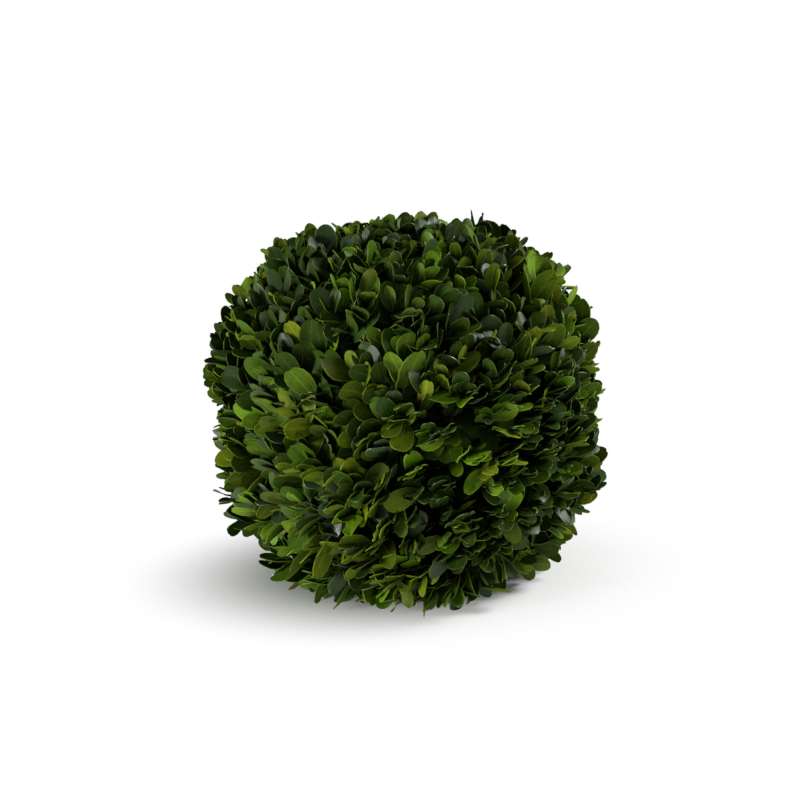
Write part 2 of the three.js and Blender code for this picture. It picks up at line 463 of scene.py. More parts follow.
def quad_mesh(name, points, quads, finishes, numbers, maps):
    """A smooth mesh of quads. numbers pick each face's finish, and maps hold corner places."""
    mesh = bpy.data.meshes.new(name)
    mesh.vertices.add(len(points))
    fill(mesh.vertices, "co", points, np.float32)
    mesh.loops.add(quads.size)
    fill(mesh.loops, "vertex_index", quads, np.int32)
    mesh.polygons.add(len(quads))
    fill(mesh.polygons, "loop_start", np.arange(0, quads.size, 4), np.int32)
    for finish in finishes:
        mesh.materials.append(finish)
    fill(mesh.polygons, "material_index", numbers, np.int32)
    fill(mesh.polygons, "use_smooth", np.ones(len(quads)), bool)
    for map_name, places in maps.items():
        fill(mesh.uv_layers.new(name=map_name).data, "uv", places, np.float32)
    mesh.update(calc_edges=True)
    return mesh


def add_piece(mesh, slot, *nodes):
    """Puts a finished mesh in the scene, on the one body, in place of its CAD nodes."""
    piece = bpy.data.objects.new(mesh.name, mesh)
    bpy.context.scene.collection.objects.link(piece)
    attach(piece, "root")
    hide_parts(*nodes)
    return piece


print("every piece rides on the one body and takes the place of its CAD nodes")

# %% [markdown]
# ## Where the sprigs end
#
# Sprigs fill the ball evenly, about 15 mm apart. A golden spiral spreads directions evenly
# over a sphere, and a little jitter hides its pattern. A ray from outside towards the
# middle then finds which bunch's solid lies there and how far out it reaches, so that the
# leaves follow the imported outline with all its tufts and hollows.

# %% Sprig directions
SEED = 7
SPRIG_COUNT = 700
SPRIG_JITTER = 0.045  # as a share of the radius
rng = np.random.default_rng(SEED)


def golden_directions(count):
    number = np.arange(count) + 0.5
    height = 1 - 2 * number / count
    turn = math.pi * (1 + math.sqrt(5)) * number
    flat = np.sqrt(1 - height**2)
    return np.stack([flat * np.cos(turn), flat * np.sin(turn), height], 1)


sprig_way = unit(golden_directions(SPRIG_COUNT) + rng.normal(0, SPRIG_JITTER, (SPRIG_COUNT, 3)))
highest = math.degrees(math.asin(sprig_way[:, 2].max()))
print(f"{SPRIG_COUNT} directions, the highest {highest:.0f} degrees up")

# %% The outline of the bunches
RAY_START = 0.3
RAY_END = CORE_RADIUS * 1.35  # a little outside the inner faces of the bunches
LEAF_LEVEL = CORE_RADIUS * 1.7


def solids_of(names):
    """One search tree over the bunches' solids, and the bunch that each of its faces is on."""
    corners, faces, owners = [], [], []
    for number, name in enumerate(names):
        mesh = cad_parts[f"bunch_{name}"].data
        first = len(corners)
        corners += [vertex.co.copy() for vertex in mesh.vertices]
        faces += [[first + index for index in polygon.vertices] for polygon in mesh.polygons]
        owners += [number] * len(mesh.polygons)
    return BVHTree.FromPolygons(corners, faces), owners


def find_outline(directions):
    """For each direction, how far out the leaves reach and the number of the bunch there."""
    tree, owners = solids_of(bunch_names)
    reach, bunch = [], []
    for direction in directions:
        start = Vector(CENTRE + direction * RAY_START)
        hit = tree.ray_cast(start, Vector(-direction), RAY_START - RAY_END)
        if hit[0] is None:  # the ray ran down a seam, so the nearest solid is taken
            hit = tree.find_nearest(Vector(CENTRE + direction * LEAF_LEVEL))
        reach.append(np.linalg.norm(np.array(hit[0]) - CENTRE))
        bunch.append(owners[hit[2]])
    return np.array(reach), np.array(bunch)


sprig_reach, sprig_bunch = find_outline(sprig_way)
stem_ways = []
for name in bunch_names:
    low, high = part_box(f"stems_{name}")
    stem_ways.append(unit(np.array((low + high) / 2) - CENTRE))
stem_ways = np.array(stem_ways)
counts = np.bincount(sprig_bunch, minlength=len(bunch_names))
print(f"{counts.min()} to {counts.max()} sprigs in a bunch, up to {sprig_reach.max() / MM:.0f} mm out")

# %% [markdown]
# ## How the sprigs lie
#
# The sprigs don't all stand straight out. At one place on the front and one at the back they
# do, and away from these they lean over each other like thatch, more so the further they are,
# with a lift towards the crown. Each bunch was turned a little by hand as it went in. A lean
# worked out from the distance to the nearest standing place gives all of it by one rule.

# %% Lay of the sprigs
STANDING = [(24, -17), (203, -6)]  # degrees round from the front and up
LIFT = 0.95  # pull towards the crown against the pull away from a standing place
UPPER_LIFT = 0.7  # added over the upper half
UPPER_FROM, UPPER_AT = -0.6, 0.1  # as heights on a ball of radius 1
MOST_LEAN = math.radians(60)
FULL_LEAN_AT = math.radians(56)
FAR_FROM, FAR_AT = math.radians(58), math.radians(95)
FAR_LEAN_CUT = 0.45  # half way between two standing places the sprigs rise again
FAR_PULL_CUT = 0.6
CROWN_FROM, CROWN_AT = 0.45, 0.95
CROWN_LEAN_CUT = 0.65
BUNCH_TURN = math.radians(16)
SPRIG_TURN = math.radians(14)
SPRIG_TILT = math.radians(8)


def round_and_up(around, up):
    """The direction at an angle round to the right of the front, and up, in degrees."""
    a, e = math.radians(around), math.radians(up)
    return np.array([math.sin(a) * math.cos(e), -math.cos(a) * math.cos(e), math.sin(e)])


standing = np.array([round_and_up(*place) for place in STANDING])
nearest = np.argmax(stem_ways @ standing.T, axis=1)[sprig_bunch]
stand_way = standing[nearest]
closeness = (sprig_way * stand_way).sum(1, keepdims=True)
distance = np.arccos(np.clip(closeness[:, 0], -1, 1))
far = smooth_step(distance, FAR_FROM, FAR_AT)
away = unit(sprig_way * closeness - stand_way)
crown = np.array([0, 0, 1.0]) - sprig_way[:, 2:] * sprig_way
lift = LIFT + UPPER_LIFT * smooth_step(sprig_way[:, 2:], UPPER_FROM, UPPER_AT)
sideways = unit(away * (1 - FAR_PULL_CUT * far[:, None]) + lift * crown)
turn = rng.normal(0, BUNCH_TURN, len(bunch_names))[sprig_bunch] + rng.normal(0, SPRIG_TURN, SPRIG_COUNT)
turn = turn[:, None]
sideways = sideways * np.cos(turn) + np.cross(sprig_way, sideways) * np.sin(turn)
lean = MOST_LEAN * smooth_step(distance, 0, FULL_LEAN_AT) * (1 - FAR_LEAN_CUT * far)
lean *= 1 - CROWN_LEAN_CUT * smooth_step(sprig_way[:, 2], CROWN_FROM, CROWN_AT)
lean = (lean + rng.normal(0, SPRIG_TILT, SPRIG_COUNT))[:, None]
growth = sprig_way * np.cos(lean) + sideways * np.sin(lean)
print(f"lean {math.degrees(lean.min()):.0f} to {math.degrees(lean.max()):.0f} degrees")

# %% [markdown]
# ## Gathered and squeezed sprigs
#
# On the right of the front one patch of sprigs was gathered by hand, and all of it points one
# way. There, and wherever sprigs stand rather than lie, the bunches beside them squeeze the
# leaves edge on, so that they show as nested thin lines with dark gaps. Leaves on leaning
# sprigs lie flat against the ball instead. So every sprig gets a direction for its blades to
# face, blended between the two.

# %% Gathered and squeezed sprigs
GATHERED = (26, -18)
GATHERED_TO = (2, 12)
GATHER_FROM, GATHER_AT = 0.80, 0.95  # cosines of the angle from the middle of the patch
GATHER_PULL = 1.8
SQUEEZE_WAY = math.radians(-45)  # from level, as seen from where the gathered sprigs point
SQUEEZE_SPREAD = math.radians(22)
LYING_FROM, LYING_AT = 0.40, 0.98  # radians from a standing place

gathered_to = round_and_up(*GATHERED_TO)
gathered = smooth_step(sprig_way @ round_and_up(*GATHERED), GATHER_FROM, GATHER_AT)[:, None]
growth = unit(growth + GATHER_PULL * gathered * gathered_to)
east = unit(np.cross([0, 0, 1.0], gathered_to))
north = np.cross(gathered_to, east)
squeeze_turn = SQUEEZE_WAY + rng.normal(0, SQUEEZE_SPREAD, len(bunch_names))[sprig_bunch][:, None]
squeeze = east * np.cos(squeeze_turn) + north * np.sin(squeeze_turn)
lying = smooth_step(distance, LYING_FROM, LYING_AT)[:, None] * (1 - gathered)
blade_way = unit(sprig_way * lying + squeeze * (1 - lying))
print(f"{int((gathered > 0.5).sum())} sprigs are gathered and {int((lying > 0.5).sum())} lie flat")

# %% [markdown]
# ## Branching
#
# In each bunch the bound stems fork again and again until every sprig has its own shoot.
# The rule works from the stem outward: a fork stands part of the way to the middle of the
# sprigs it feeds, those are then split in two across their widest spread, and each half
# gets a fork of its own. Two or three sprigs left over are fed directly.

# %% Forks
TIP_INSET = 5.8 * MM  # the outermost leaves reach this much past the end of their shoot
WAIST_INSET = 2.2 * MM  # and this much more round the widest part
TIP_INSET_SPREAD = 2.2 * MM
LEAST_INSET = 0.4 * TIP_INSET
SHOOT_LENGTH = 27 * MM  # a shoot's leafy part
FORK_SHARE = 0.42  # how far a fork stands towards the middle of what it feeds
FORK_SPREAD = 1.5 * MM
FORK_FLOOR = CORE_RADIUS * 1.16  # no fork lies nearer to the middle of the ball
STEM_END = CORE_RADIUS * 1.24
FEW = 3

inset = rng.normal(TIP_INSET, TIP_INSET_SPREAD, SPRIG_COUNT) + WAIST_INSET * (1 - np.abs(sprig_way[:, 2]))
inset = np.maximum(inset, LEAST_INSET)[:, None]
tips = CENTRE + sprig_way * (sprig_reach[:, None] - inset)
shoot_bases = tips - growth * SHOOT_LENGTH


def at_least(point, radius):
    """Moves a point straight out until it is at least that far from the middle."""
    offset = point - CENTRE
    return CENTRE + offset * max(1, radius / np.linalg.norm(offset))


def fork(start, heading, sprigs, limbs, feeds):
    """Grows limbs from start to the bases of these sprigs. Fills limbs, and each sprig's feed."""
    middle = shoot_bases[sprigs].mean(0)
    if len(sprigs) <= FEW:
        for sprig in sprigs:
            feeds[sprig] = (start, heading)
        return
    place = start + (middle - start) * FORK_SHARE + rng.normal(0, FORK_SPREAD, 3)
    place = at_least(place, FORK_FLOOR)
    limbs.append((start, heading, place, len(sprigs)))
    spread = shoot_bases[sprigs] - middle
    widest = np.linalg.svd(spread, full_matrices=False)[2][0]
    order = sprigs[np.argsort(spread @ widest + rng.normal(0, FORK_SPREAD, len(sprigs)))]
    onward = unit(place - start)
    cut = len(order) // 2
    fork(place, onward, order[:cut], limbs, feeds)
    fork(place, onward, order[cut:], limbs, feeds)


limbs_of, feed_of = [], {}
for number in range(len(bunch_names)):
    way = stem_ways[number]
    limbs = []
    fork(CENTRE + way * STEM_END, way, np.flatnonzero(sprig_bunch == number), limbs, feed_of)
    limbs_of.append(limbs)
print(f"{sum(len(limbs) for limbs in limbs_of)} limbs feed {len(feed_of)} shoots")

# %% [markdown]
# ## Pressed at the foot
#
# The ball's own weight presses the lowest leaves and twigs against the table. What would end
# below the surface is bent along it instead: heights under a small limit are squeezed into
# what is left above the table, so that nothing passes through and nothing is cut off.

# %% Pressing
SOLE = 5 * MM  # heights under this are squeezed


def pressed(points):
    squeezed = SOLE * np.exp(np.minimum(points[:, 2] / SOLE - 1, 0))
    points[:, 2] = np.where(points[:, 2] < SOLE, squeezed, points[:, 2])
    return points


print(f"the level of the table becomes {pressed(np.zeros((1, 3)))[0, 2] / MM:.1f} mm")

# %% [markdown]
# ## Twigs
#
# A twig is a thin tube along a curve. Only a curve that leaves its fork in the direction
# of the limb below and arrives in the direction of growth looks grown, so each one is a
# cubic curve with those two directions at its ends. The tube tapers and ends in a flat cut.

# %% Curves
def curve(start, heading, end, arriving, steps, slack=0.4):
    """A cubic curve between two points with a direction at each."""
    reach = np.linalg.norm(end - start) * slack
    share = np.linspace(0, 1, steps)[:, None]
    a, b = start + heading * reach, end - arriving * reach
    rest = 1 - share
    return rest**3 * start + 3 * rest**2 * share * a + 3 * rest * share**2 * b + share**3 * end


bow = curve(np.zeros(3), np.array([1.0, 0, 0]), np.array([1.0, 0, 1.0]), np.array([0, 0, 1.0]), 9)
print(f"a curve round a corner of 1 by 1 is {np.linalg.norm(np.diff(bow, axis=0), axis=1).sum():.2f} long")

# %% Tubes
TWIG_SIDES = 6


class Tubes:
    """Collects tapering tubes for one mesh."""

    def __init__(self):
        self.points, self.quads, self.numbers, self.places = [], [], [], []
        self.count = 0

    def add(self, path, radii, finish, end_finish=None):
        steps, sides = len(path), TWIG_SIDES
        tangent = unit(np.gradient(path, axis=0))
        helper = np.eye(3)[np.argmin(np.abs(tangent).max(0))]
        u = unit(np.cross(tangent, helper))
        v = np.cross(tangent, u)
        angle = 2 * math.pi * np.arange(sides) / sides
        ring = u[:, None] * np.cos(angle)[:, None] + v[:, None] * np.sin(angle)[:, None]
        self.points.append((path[:, None] + ring * np.asarray(radii)[:, None, None]).reshape(-1, 3))
        step, side = np.meshgrid(np.arange(steps - 1), np.arange(sides), indexing="ij")
        near, far = side, (side + 1) % sides
        here, onward = step * sides, (step + 1) * sides
        wall = np.stack([here + near, here + far, onward + far, onward + near], -1).reshape(-1, 4)
        last = (steps - 1) * sides
        cap = np.array([[last, last + 1, last + 2, last + 3], [last + 3, last + 4, last + 5, last]])
        self.quads.append(np.concatenate([wall, cap]) + self.count)
        low, high = step / (steps - 1), (step + 1) / (steps - 1)
        west, east = near / sides, (near + 1) / sides
        corners = [(west, low), (east, low), (east, high), (west, high)]
        wall_places = np.stack([np.stack(corner, -1) for corner in corners], -2).reshape(-1, 4, 2)
        self.places.append(np.concatenate([wall_places, wall_places[:2]]))
        self.numbers.append(np.full(len(wall), finish))
        self.numbers.append(np.full(2, finish if end_finish is None else end_finish))
        self.count += steps * sides

    def mesh(self, name):
        arrays = [np.concatenate(part) for part in (self.points, self.quads, self.numbers, self.places)]
        points, quads, numbers, places = arrays
        maps = {BAKE_MAP: tiled(places, numbers, TWIG_TILES, 1)}
        return quad_mesh(name, pressed(points), quads, TWIG_FINISHES, numbers, maps)


print(f"tubes have {TWIG_SIDES} sides and two faces at the cut end")

# %% [markdown]
# ## Dealing the greens
#
# All leaves of a sprig have nearly one green, because they grew together. Greens dealt out
# evenly would look like confetti. Dark greens are dealt more often where the ball lies in
# shade, as painted shade, and pale greens where light falls on it, as painted light, so the
# odds change from place to place before each sprig draws its green.

# %% Green of each sprig
# Painted shade: darker greens are likelier where the ball lies in shade.
PAINTED_SHADE_PLACES = [(-54, 46), (-16, 58), (8, 32), (8, 6), (26, -16), (50, -4), (46, -36)]
PAINTED_SHADE_ODDS = {"mid_green": 0.6, "deep_green": 4.0, "olive": 0.7, "fresh_green": 0.9, "yellow_olive": 0.5}
# Painted light: paler and blue-grey greens are likelier where light falls on the ball.
PAINTED_LIGHT_PLACES = [(-42, -40), (44, 54), (62, 36)]
PAINTED_LIGHT_ODDS = {"deep_green": 0.3, "fresh_green": 2.4, "yellow_olive": 2.0, "blue_grey": 2.0}
PLACE_FROM, PLACE_AT = 0.82, 0.97  # cosines of the angle from the middle of a place

sprig_odds = np.tile([green[0] for green in GREENS.values()], (SPRIG_COUNT, 1))
for places, odds in ((PAINTED_SHADE_PLACES, PAINTED_SHADE_ODDS), (PAINTED_LIGHT_PLACES, PAINTED_LIGHT_ODDS)):
    change = np.array([odds.get(name, 1) for name in GREENS])
    closest = np.max([sprig_way @ round_and_up(*place) for place in places], axis=0)
    sprig_odds *= 1 + (change - 1) * smooth_step(closest, PLACE_FROM, PLACE_AT)[:, None]
sprig_odds /= sprig_odds.sum(1, keepdims=True)
sprig_green = (rng.random((SPRIG_COUNT, 1)) > np.cumsum(sprig_odds, 1)).sum(1)
sprig_green = np.minimum(sprig_green, len(GREENS) - 1)
print("sprigs of each green:", dict(zip(GREENS, np.bincount(sprig_green).tolist())))

# %% [markdown]
# ## How leaves stand on their sprig
#
# Box carries its leaves in pairs, each pair a quarter turn from the last. Near the bud they
# are small and close together. Further down they are full size and open wider. Where sprigs
# lean over, the leaves were pressed flat against the ball, and some of them face up and some
# face down. Where sprigs stand, the leaves are narrower together, fanned out in one plane and
# edge on, but for a few at the ends that lie loose over the rest. So each sprig gets its own
# shares of opening, pressing and fanning.

# %% Shares of each sprig
PRESSED_WAY = round_and_up(-38, -16)  # the leaves were pressed flattest round here
PRESSED_FROM, PRESSED_AT = 0.35, 0.95
PRESS_LEAST = 0.15  # how far a leaf is turned to the flat that its place asks, all round,
PRESS_FLAT = 0.72  # more where the leaves were pressed flattest,
PRESS_SQUEEZED = 0.62  # more where they were squeezed,
PRESS_GATHERED = 0.12  # and more where they were gathered
PRESS_SPREAD = 0.12
PRESS_MOST = 0.92
CLOSED_SHARE = 0.5  # how much narrower leaves stand where their sprigs stand straight out
CLOSED_TO, CLOSED_FROM = 0.2, 0.9  # radians from a standing place
MOST_FAN = 0.85  # how far squeezed sprigs spread their leaves in one plane
PRESSED_SIZE = 0.05  # leaves are this much longer where they are pressed flattest
SQUEEZED_SIZE = -0.14  # and shorter where they are squeezed
UPPER_SIDE_OUT = 0.45  # share of sprigs that show the upper sides where nothing else decides

press_side = rng.choice([-1.0, 1.0], SPRIG_COUNT, p=[1 - UPPER_SIDE_OUT, UPPER_SIDE_OUT])
squeezed_here = 1 - lying[:, 0]
pressed_here = smooth_step(sprig_way @ PRESSED_WAY, PRESSED_FROM, PRESSED_AT)
open_share = 1 - CLOSED_SHARE * (1 - smooth_step(distance, CLOSED_TO, CLOSED_FROM))
fan_share = MOST_FAN * squeezed_here
leaf_size = 1 + PRESSED_SIZE * pressed_here + SQUEEZED_SIZE * squeezed_here
press_share = PRESS_LEAST + PRESS_FLAT * pressed_here + PRESS_SQUEEZED * squeezed_here
press_share = press_share + PRESS_GATHERED * gathered[:, 0]
press_share = np.clip(press_share + rng.normal(0, PRESS_SPREAD, SPRIG_COUNT), 0, PRESS_MOST)
print(f"leaves are turned {press_share.mean():.2f} of the way to their flat, on average")

# %% Leaf pairs along a shoot
NODE_STEP = 4.4 * MM  # from the end to the second pair, and each gap after is longer
NODE_STEP_GROWTH = 0.55 * MM
FIRST_NODE = 1.2 * MM
LEAFY_SHARE = 0.92  # of a shoot's length
MOST_PAIRS = 7


def leaf_nodes(path):
    """The places, directions and numbers of a shoot's leaf pairs, from its end back."""
    lengths = np.linalg.norm(np.diff(path, axis=0), axis=1)
    from_end = np.concatenate([[0], np.cumsum(lengths[::-1])])
    number = np.arange(MOST_PAIRS)
    wanted = FIRST_NODE + number * NODE_STEP + NODE_STEP_GROWTH * number**2 / 2
    number = number[wanted < from_end[-1] * LEAFY_SHARE]
    wanted = wanted[number]
    back = path[::-1]
    places = np.stack([np.interp(wanted, from_end, back[:, i]) for i in range(3)], 1)
    tangent = unit(-np.gradient(back, axis=0))
    ways = unit(np.stack([np.interp(wanted, from_end, tangent[:, i]) for i in range(3)], 1))
    return places, ways, number


straight = np.linspace([0, 0, 0], [0, 0, SHOOT_LENGTH], 9)
print(f"a straight shoot of {SHOOT_LENGTH / MM:.0f} mm has {len(leaf_nodes(straight)[2])} pairs")

# %% [markdown]
# ## The frame of each leaf
#
# A leaf's own frame has three directions: along the leaf, across it, and out of its upper
# side. They start from the shoot, a quarter turn on with each pair, and are then turned part
# of the way to the flat of the sprig. Length, side and green are drawn leaf by leaf.

# %% Leaf frames
INNER_FROM = 5  # from this pair inward the leaves spread wide and close the gaps
INNER_OPENING = math.radians(68)
LEAF_LENGTH = 17.3 * MM
LEAF_LENGTH_SPREAD = 0.15
END_PAIR_SIZE = 0.74
NEXT_PAIR_SIZE = 0.2
LEAF_OPENING = math.radians(15)  # from the shoot, for the end pair
LEAF_OPENING_STEP = math.radians(5.5)
MOST_OPENING = math.radians(40)
OPENING_SPREAD = math.radians(8)
WIDE_LEAVES = 0.16  # share of leaves that stand wide open, and how much wider
WIDE_EXTRA = math.radians(32)
LOOSE_FROM = 0.35  # where they fan more than this, the wide end leaves lie loose over the rest
LOOSE_EXTRA = math.radians(32)
LOOSE_SIZE = 1.32
PAIR_TURN_SPREAD = math.radians(14)
CLEAR_FACING = 0.3  # a leaf that faces out or in more than this keeps its side
MOST_OUT = 6 * MM  # a leaf that would stick out further is a shorter one
LEAST_LENGTH = 0.55
STRAY_GREEN = 0.20  # share of leaves that differ from their sprig
STRAY_ODDS = [0.10, 0.12, 0.14, 0.26, 0.16, 0.16, 0.06]  # of the greens, in their order
OLIVE, BLUE_GREY = (list(GREENS).index(name) for name in ("olive", "blue_grey"))


def shoot_leaves(sprig, path):
    """Frames and sizes for all the leaves of one shoot."""
    places, ways, number = (np.repeat(part, 2, axis=0) for part in leaf_nodes(path))
    count = len(number)
    blade, fan = blade_way[sprig], fan_share[sprig]
    helper = unit(rng.normal(size=3))
    u = unit(np.cross(ways, helper))
    v = np.cross(ways, u)
    opposite = np.tile([0, math.pi], count // 2)
    turn = rng.uniform(0, math.pi) + number * math.pi / 2 + opposite
    turn = turn + rng.normal(0, PAIR_TURN_SPREAD, count)
    outward = u * np.cos(turn)[:, None] + v * np.sin(turn)[:, None]
    fanned = (fan * (number < INNER_FROM))[:, None]
    outward = outward - fanned * (outward @ blade)[:, None] * blade
    outward = unit(outward - (outward * ways).sum(1, keepdims=True) * ways)
    opening = np.minimum(LEAF_OPENING + LEAF_OPENING_STEP * number, MOST_OPENING)
    opening = np.where(number >= INNER_FROM, INNER_OPENING, opening)
    opening = opening * open_share[sprig] + rng.normal(0, OPENING_SPREAD, count)
    wide = rng.random(count) < WIDE_LEAVES
    loose = wide & (number == 0) & (fan > LOOSE_FROM)
    opening = (opening + WIDE_EXTRA * wide + LOOSE_EXTRA * loose)[:, None]
    along = unit(ways * np.cos(opening) + outward * np.sin(opening))
    upper = unit(ways * np.sin(opening) - outward * np.cos(opening))
    facing = upper @ blade
    side = np.where(np.abs(facing) > CLEAR_FACING, np.sign(facing), press_side[sprig])[:, None]
    flat = blade * side
    flat = flat - (flat * along).sum(1, keepdims=True) * along
    press = press_share[sprig] * (1 - loose)[:, None]
    upper = unit(upper * (1 - press) + flat * press)
    size = np.minimum(1, END_PAIR_SIZE + NEXT_PAIR_SIZE * number) * np.where(loose, LOOSE_SIZE, 1)
    spread = np.exp(rng.normal(0, LEAF_LENGTH_SPREAD, count))
    length = LEAF_LENGTH * leaf_size[sprig] * size * spread
    out = np.linalg.norm(places + along * length[:, None] - CENTRE, axis=1) - sprig_reach[sprig]
    length = np.maximum(length - np.maximum(out - MOST_OUT, 0), LEAST_LENGTH * length)
    stray = (rng.random(count) < STRAY_GREEN) | loose
    strays = rng.choice(len(GREENS), count, p=STRAY_ODDS)
    strays = np.where(loose & (strays == BLUE_GREY), OLIVE, strays)
    return {
        "place": places,
        "along": along,
        "upper": upper,
        "length": length,
        "green": np.where(stray, strays, sprig_green[sprig]),
        "sprig": np.full(count, sprig),
    }


print(f"a full leaf is {LEAF_LENGTH / MM:.1f} mm long, and {STRAY_GREEN:.0%} differ from their sprig")

# %% [markdown]
# ## One leaf
#
# A box leaf is an oval that is widest past the middle, with a blunt and often slightly
# notched end and a short stalk. A leaf drawn by hand could only be copied. Worked out from
# a few numbers, every leaf gets its own length, width, bend, cup and twist. The outer
# leaves are closed: an upper sheet, an under sheet and a thin edge. Leaves buried deep in
# the ball are one plain sheet.

# %% Habit and shape of a leaf
ROWS = np.array([0.0, 0.07, 0.18, 0.33, 0.52, 0.70, 0.85, 0.945, 0.99])
COLUMNS = np.array([-1.0, -0.52, 0.0, 0.52, 1.0])
PLAIN_ROWS = np.array([0.02, 0.26, 0.56, 0.82, 0.97])
PLAIN_COLUMNS = np.array([-1.0, 0.0, 1.0])
LEAF_THICKNESS = 0.36 * MM
STALK_HALF_WIDTH = 0.42 * MM
RIB_GROOVE = 0.16 * MM
WIDTH_SHARE = 0.54
WIDTH_SHARE_SPREAD = 0.06
RIPPLES = 1.3  # waves along the edge of a leaf


def leaf_habit(count):
    """The numbers that make each leaf its own."""
    return {
        "width": np.clip(rng.normal(WIDTH_SHARE, WIDTH_SHARE_SPREAD, count), 0.38, 0.68),
        "base": rng.uniform(0.55, 0.85, count),
        "end": rng.uniform(0.42, 0.58, count),
        "bend": rng.normal(0.22, 0.28, count),
        "cup": rng.normal(-0.06, 0.12, count),
        "twist": rng.normal(0, 0.22, count),
        "wave": rng.normal(0, 0.025, count),
        "phase": rng.uniform(0, 2 * math.pi, count),
        "notch": np.clip(rng.normal(0.0, 0.015, count), -0.01, None),
    }


def leaf_points(leaves, habit, rows, columns, depth):
    """Points of one sheet of every leaf, at a depth below the upper surface."""
    t, s = (grid.ravel()[None] for grid in np.meshgrid(rows, columns, indexing="ij"))
    length = leaves["length"][:, None]
    base, end = habit["base"][:, None], habit["end"][:, None]
    peak = base / (base + end)
    swell = t**base * (1 - t) ** end / (peak**base * (1 - peak) ** end)
    half_width = np.maximum(STALK_HALF_WIDTH, length * habit["width"][:, None] / 2 * swell)
    x = s * half_width
    bend = habit["bend"][:, None] * t
    y = length * t * (1 - bend**2 / 6) - length * habit["notch"][:, None] * (1 - np.abs(s)) * t**8
    z = -length * bend * t / 2
    z = z + habit["cup"][:, None] * s**2 * half_width
    ripple = np.sin(2 * math.pi * RIPPLES * t + habit["phase"][:, None])
    z = z + habit["wave"][:, None] * length * ripple * s**2
    z = z - RIB_GROOVE * (s == 0) - depth
    twist = habit["twist"][:, None] * t
    x, z = x * np.cos(twist) - z * np.sin(twist), x * np.sin(twist) + z * np.cos(twist)
    across = np.cross(leaves["along"], leaves["upper"])
    parts = zip((x, y, z), (across, leaves["along"], leaves["upper"]))
    return leaves["place"][:, None] + sum(part[..., None] * way[:, None] for part, way in parts)


print(f"{len(ROWS)} rows of {len(COLUMNS)} points on each sheet of a closed leaf")

# %% Faces of a leaf
def sheet_quads(rows, columns):
    row, column = np.meshgrid(np.arange(rows - 1), np.arange(columns - 1), indexing="ij")
    first = (row * columns + column).ravel()
    return np.stack([first, first + 1, first + columns + 1, first + columns], 1)


def outline_loop(rows, columns):
    """Numbers of the points round a sheet, up one side, over the end and down the other."""
    up = np.arange(rows) * columns + columns - 1
    over = (rows - 1) * columns + np.arange(columns - 2, 0, -1)
    down = np.arange(rows - 1, -1, -1) * columns
    return np.concatenate([up, over, down])


def leaf_template(rows, columns, closed):
    """Faces, leaf coordinates and sides (0 upper, 1 under) of a closed or a plain leaf."""
    sheet = sheet_quads(len(rows), len(columns))
    t, s = (grid.ravel() for grid in np.meshgrid(rows, columns, indexing="ij"))
    place = np.stack([(s + 1) / 2, t], 1)
    if not closed:
        return sheet, place, np.zeros(len(sheet), int)
    loop = outline_loop(len(rows), len(columns))
    edge = np.stack([loop[1:], loop[:-1], loop[:-1] + len(place), loop[1:] + len(place)], 1)
    quads = np.concatenate([sheet, sheet[:, ::-1] + len(place), edge])
    sides = np.repeat([0, 1, 0], [len(sheet), len(sheet), len(edge)])
    return quads, np.tile(place, (2, 1)), sides


print(f"{len(leaf_template(ROWS, COLUMNS, True)[0])} faces on a closed leaf")

# %% [markdown]
# ## Writing the leaves of a bunch
#
# The upper and under side of a leaf shade smoothly, but the thin edge between them would
# smear both. Marking the outline of each sheet as sharp keeps the edge a clean line, whose
# pale colour is partly a painted highlight.
# Then all the leaves of a bunch go into one mesh, closed ones first and plain ones after.

# %% Crisp outlines
def sharpen(mesh, closed_total):
    """Marks the outline of both sheets as sharp, so that the thin edge shades on its own."""
    loop = outline_loop(len(ROWS), len(COLUMNS))
    size = 2 * len(ROWS) * len(COLUMNS)
    crisp = np.zeros((size, size), bool)
    for shift in (0, size // 2):
        crisp[loop[1:] + shift, loop[:-1] + shift] = True
        crisp[loop[:-1] + shift, loop[1:] + shift] = True
    ends = np.zeros(len(mesh.edges) * 2, np.int32)
    mesh.edges.foreach_get("vertices", ends)
    ends = ends.reshape(-1, 2)
    closed = ends.max(1) < size * closed_total
    sharp = closed & crisp[ends[:, 0] % size, ends[:, 1] % size]
    fill(mesh.attributes.new("sharp_edge", "BOOLEAN", "EDGE").data, "value", sharp, bool)


print(f"{len(outline_loop(len(ROWS), len(COLUMNS)))} points round a leaf")

# %% One mesh of leaves
DEEP = 12 * MM  # leaves whose middles lie deeper than this are plain sheets
CLOSED_LEAF = (ROWS, COLUMNS, (0, LEAF_THICKNESS))  # and how deep its sheets lie
PLAIN_LEAF = (PLAIN_ROWS, PLAIN_COLUMNS, (0,))


